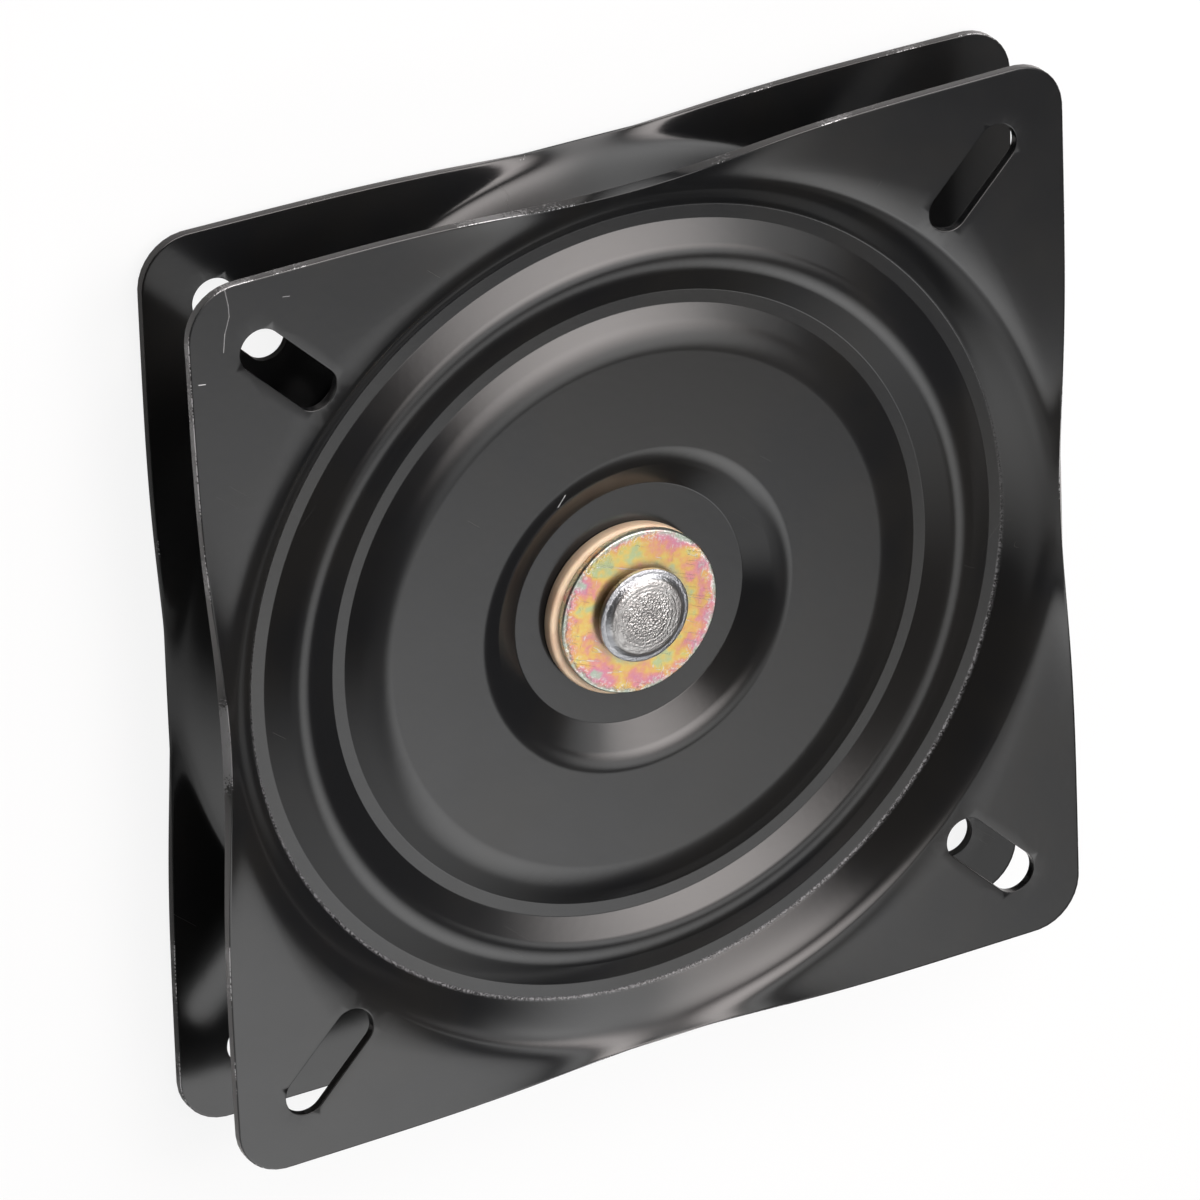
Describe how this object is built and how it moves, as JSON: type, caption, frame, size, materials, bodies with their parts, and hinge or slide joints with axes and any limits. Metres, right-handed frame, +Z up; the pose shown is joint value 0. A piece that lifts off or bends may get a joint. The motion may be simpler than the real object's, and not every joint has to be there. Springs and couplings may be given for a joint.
{
  "type": "boat seat swivel",
  "caption": "Square stamped steel seat swivel: two black plates with diagonal slots turn on a ring of caged balls and a riveted kingpin with washers.",
  "frame": {"origin": "on the swivel axis, in the plane of the four corners that the bottom plate stands on", "axes": "+Z up along the kingpin to the seat side, +X and +Y square to the sides of the bottom plate"},
  "size_m": [0.1806, 0.1806, 0.0222],
  "materials": {
    "black_ecoat": "gloss",
    "yellow_zinc": "satin",
    "rivet_steel": "satin",
    "washer_nylon": "satin",
    "cage_nylon": "satin",
    "ball_steel": "polished"
  },
  "bodies": {
    "base": {"bottom_plate": "black_ecoat", "kingpin_rivet": "rivet_steel", "retaining_washer": "yellow_zinc", "thrust_washer": "washer_nylon", "centre_spacer": "washer_nylon"},
    "turntable": {"top_plate": "black_ecoat"},
    "cage": {"ball_cage": "cage_nylon"},
    "ball_01": {"ball_01": "ball_steel"},
    "ball_02": {"ball_02": "ball_steel"},
    "ball_03": {"ball_03": "ball_steel"},
    "ball_04": {"ball_04": "ball_steel"},
    "ball_05": {"ball_05": "ball_steel"},
    "ball_06": {"ball_06": "ball_steel"},
    "ball_07": {"ball_07": "ball_steel"},
    "ball_08": {"ball_08": "ball_steel"},
    "ball_09": {"ball_09": "ball_steel"},
    "ball_10": {"ball_10": "ball_steel"},
    "ball_11": {"ball_11": "ball_steel"},
    "ball_12": {"ball_12": "ball_steel"},
    "ball_13": {"ball_13": "ball_steel"},
    "ball_14": {"ball_14": "ball_steel"},
    "ball_15": {"ball_15": "ball_steel"},
    "ball_16": {"ball_16": "ball_steel"},
    "ball_17": {"ball_17": "ball_steel"},
    "ball_18": {"ball_18": "ball_steel"},
    "ball_19": {"ball_19": "ball_steel"},
    "ball_20": {"ball_20": "ball_steel"}
  },
  "joints": [
    {"name": "seat_swivel", "type": "hinge", "parent": "base", "child": "turntable", "pos_m": [0, 0, 0.01111], "axis": [0, 0, 1], "continuous": true},
    {"name": "cage_orbit", "type": "hinge", "parent": "base", "child": "cage", "pos_m": [0, 0, 0.01111], "axis": [0, 0, 1], "continuous": true},
    {"name": "ball_01_roll", "type": "hinge", "parent": "cage", "child": "ball_01", "pos_m": [0.06851, 0, 0.01111], "axis": [1, 0, 0], "continuous": true},
    {"name": "ball_02_roll", "type": "hinge", "parent": "cage", "child": "ball_02", "pos_m": [0.06515, 0.02117, 0.01111], "axis": [0.9511, 0.309, 0], "continuous": true},
    {"name": "ball_03_roll", "type": "hinge", "parent": "cage", "child": "ball_03", "pos_m": [0.05542, 0.04027, 0.01111], "axis": [0.809, 0.5878, 0], "continuous": true},
    {"name": "ball_04_roll", "type": "hinge", "parent": "cage", "child": "ball_04", "pos_m": [0.04027, 0.05542, 0.01111], "axis": [0.5878, 0.809, 0], "continuous": true},
    {"name": "ball_05_roll", "type": "hinge", "parent": "cage", "child": "ball_05", "pos_m": [0.02117, 0.06515, 0.01111], "axis": [0.309, 0.9511, 0], "continuous": true},
    {"name": "ball_06_roll", "type": "hinge", "parent": "cage", "child": "ball_06", "pos_m": [0, 0.06851, 0.01111], "axis": [0, 1, 0], "continuous": true},
    {"name": "ball_07_roll", "type": "hinge", "parent": "cage", "child": "ball_07", "pos_m": [-0.02117, 0.06515, 0.01111], "axis": [-0.309, 0.9511, 0], "continuous": true},
    {"name": "ball_08_roll", "type": "hinge", "parent": "cage", "child": "ball_08", "pos_m": [-0.04027, 0.05542, 0.01111], "axis": [-0.5878, 0.809, 0], "continuous": true},
    {"name": "ball_09_roll", "type": "hinge", "parent": "cage", "child": "ball_09", "pos_m": [-0.05542, 0.04027, 0.01111], "axis": [-0.809, 0.5878, 0], "continuous": true},
    {"name": "ball_10_roll", "type": "hinge", "parent": "cage", "child": "ball_10", "pos_m": [-0.06515, 0.02117, 0.01111], "axis": [-0.9511, 0.309, 0], "continuous": true},
    {"name": "ball_11_roll", "type": "hinge", "parent": "cage", "child": "ball_11", "pos_m": [-0.06851, 0, 0.01111], "axis": [-1, 0, 0], "continuous": true},
    {"name": "ball_12_roll", "type": "hinge", "parent": "cage", "child": "ball_12", "pos_m": [-0.06515, -0.02117, 0.01111], "axis": [-0.9511, -0.309, 0], "continuous": true},
    {"name": "ball_13_roll", "type": "hinge", "parent": "cage", "child": "ball_13", "pos_m": [-0.05542, -0.04027, 0.01111], "axis": [-0.809, -0.5878, 0], "continuous": true},
    {"name": "ball_14_roll", "type": "hinge", "parent": "cage", "child": "ball_14", "pos_m": [-0.04027, -0.05542, 0.01111], "axis": [-0.5878, -0.809, 0], "continuous": true},
    {"name": "ball_15_roll", "type": "hinge", "parent": "cage", "child": "ball_15", "pos_m": [-0.02117, -0.06515, 0.01111], "axis": [-0.309, -0.9511, 0], "continuous": true},
    {"name": "ball_16_roll", "type": "hinge", "parent": "cage", "child": "ball_16", "pos_m": [0, -0.06851, 0.01111], "axis": [0, -1, 0], "continuous": true},
    {"name": "ball_17_roll", "type": "hinge", "parent": "cage", "child": "ball_17", "pos_m": [0.02117, -0.06515, 0.01111], "axis": [0.309, -0.9511, 0], "continuous": true},
    {"name": "ball_18_roll", "type": "hinge", "parent": "cage", "child": "ball_18", "pos_m": [0.04027, -0.05542, 0.01111], "axis": [0.5878, -0.809, 0], "continuous": true},
    {"name": "ball_19_roll", "type": "hinge", "parent": "cage", "child": "ball_19", "pos_m": [0.05542, -0.04027, 0.01111], "axis": [0.809, -0.5878, 0], "continuous": true},
    {"name": "ball_20_roll", "type": "hinge", "parent": "cage", "child": "ball_20", "pos_m": [0.06515, -0.02117, 0.01111], "axis": [0.9511, -0.309, 0], "continuous": true}
  ],
  "couplings": [
    {"joint": "cage_orbit", "follows": "seat_swivel", "ratio": 0.5},
    {"joint": "ball_01_roll", "follows": "seat_swivel", "ratio": -7.1924},
    {"joint": "ball_02_roll", "follows": "seat_swivel", "ratio": -7.1924},
    {"joint": "ball_03_roll", "follows": "seat_swivel", "ratio": -7.1924},
    {"joint": "ball_04_roll", "follows": "seat_swivel", "ratio": -7.1924},
    {"joint": "ball_05_roll", "follows": "seat_swivel", "ratio": -7.1924},
    {"joint": "ball_06_roll", "follows": "seat_swivel", "ratio": -7.1924},
    {"joint": "ball_07_roll", "follows": "seat_swivel", "ratio": -7.1924},
    {"joint": "ball_08_roll", "follows": "seat_swivel", "ratio": -7.1924},
    {"joint": "ball_09_roll", "follows": "seat_swivel", "ratio": -7.1924},
    {"joint": "ball_10_roll", "follows": "seat_swivel", "ratio": -7.1924},
    {"joint": "ball_11_roll", "follows": "seat_swivel", "ratio": -7.1924},
    {"joint": "ball_12_roll", "follows": "seat_swivel", "ratio": -7.1924},
    {"joint": "ball_13_roll", "follows": "seat_swivel", "ratio": -7.1924},
    {"joint": "ball_14_roll", "follows": "seat_swivel", "ratio": -7.1924},
    {"joint": "ball_15_roll", "follows": "seat_swivel", "ratio": -7.1924},
    {"joint": "ball_16_roll", "follows": "seat_swivel", "ratio": -7.1924},
    {"joint": "ball_17_roll", "follows": "seat_swivel", "ratio": -7.1924},
    {"joint": "ball_18_roll", "follows": "seat_swivel", "ratio": -7.1924},
    {"joint": "ball_19_roll", "follows": "seat_swivel", "ratio": -7.1924},
    {"joint": "ball_20_roll", "follows": "seat_swivel", "ratio": -7.1924}
  ]
}
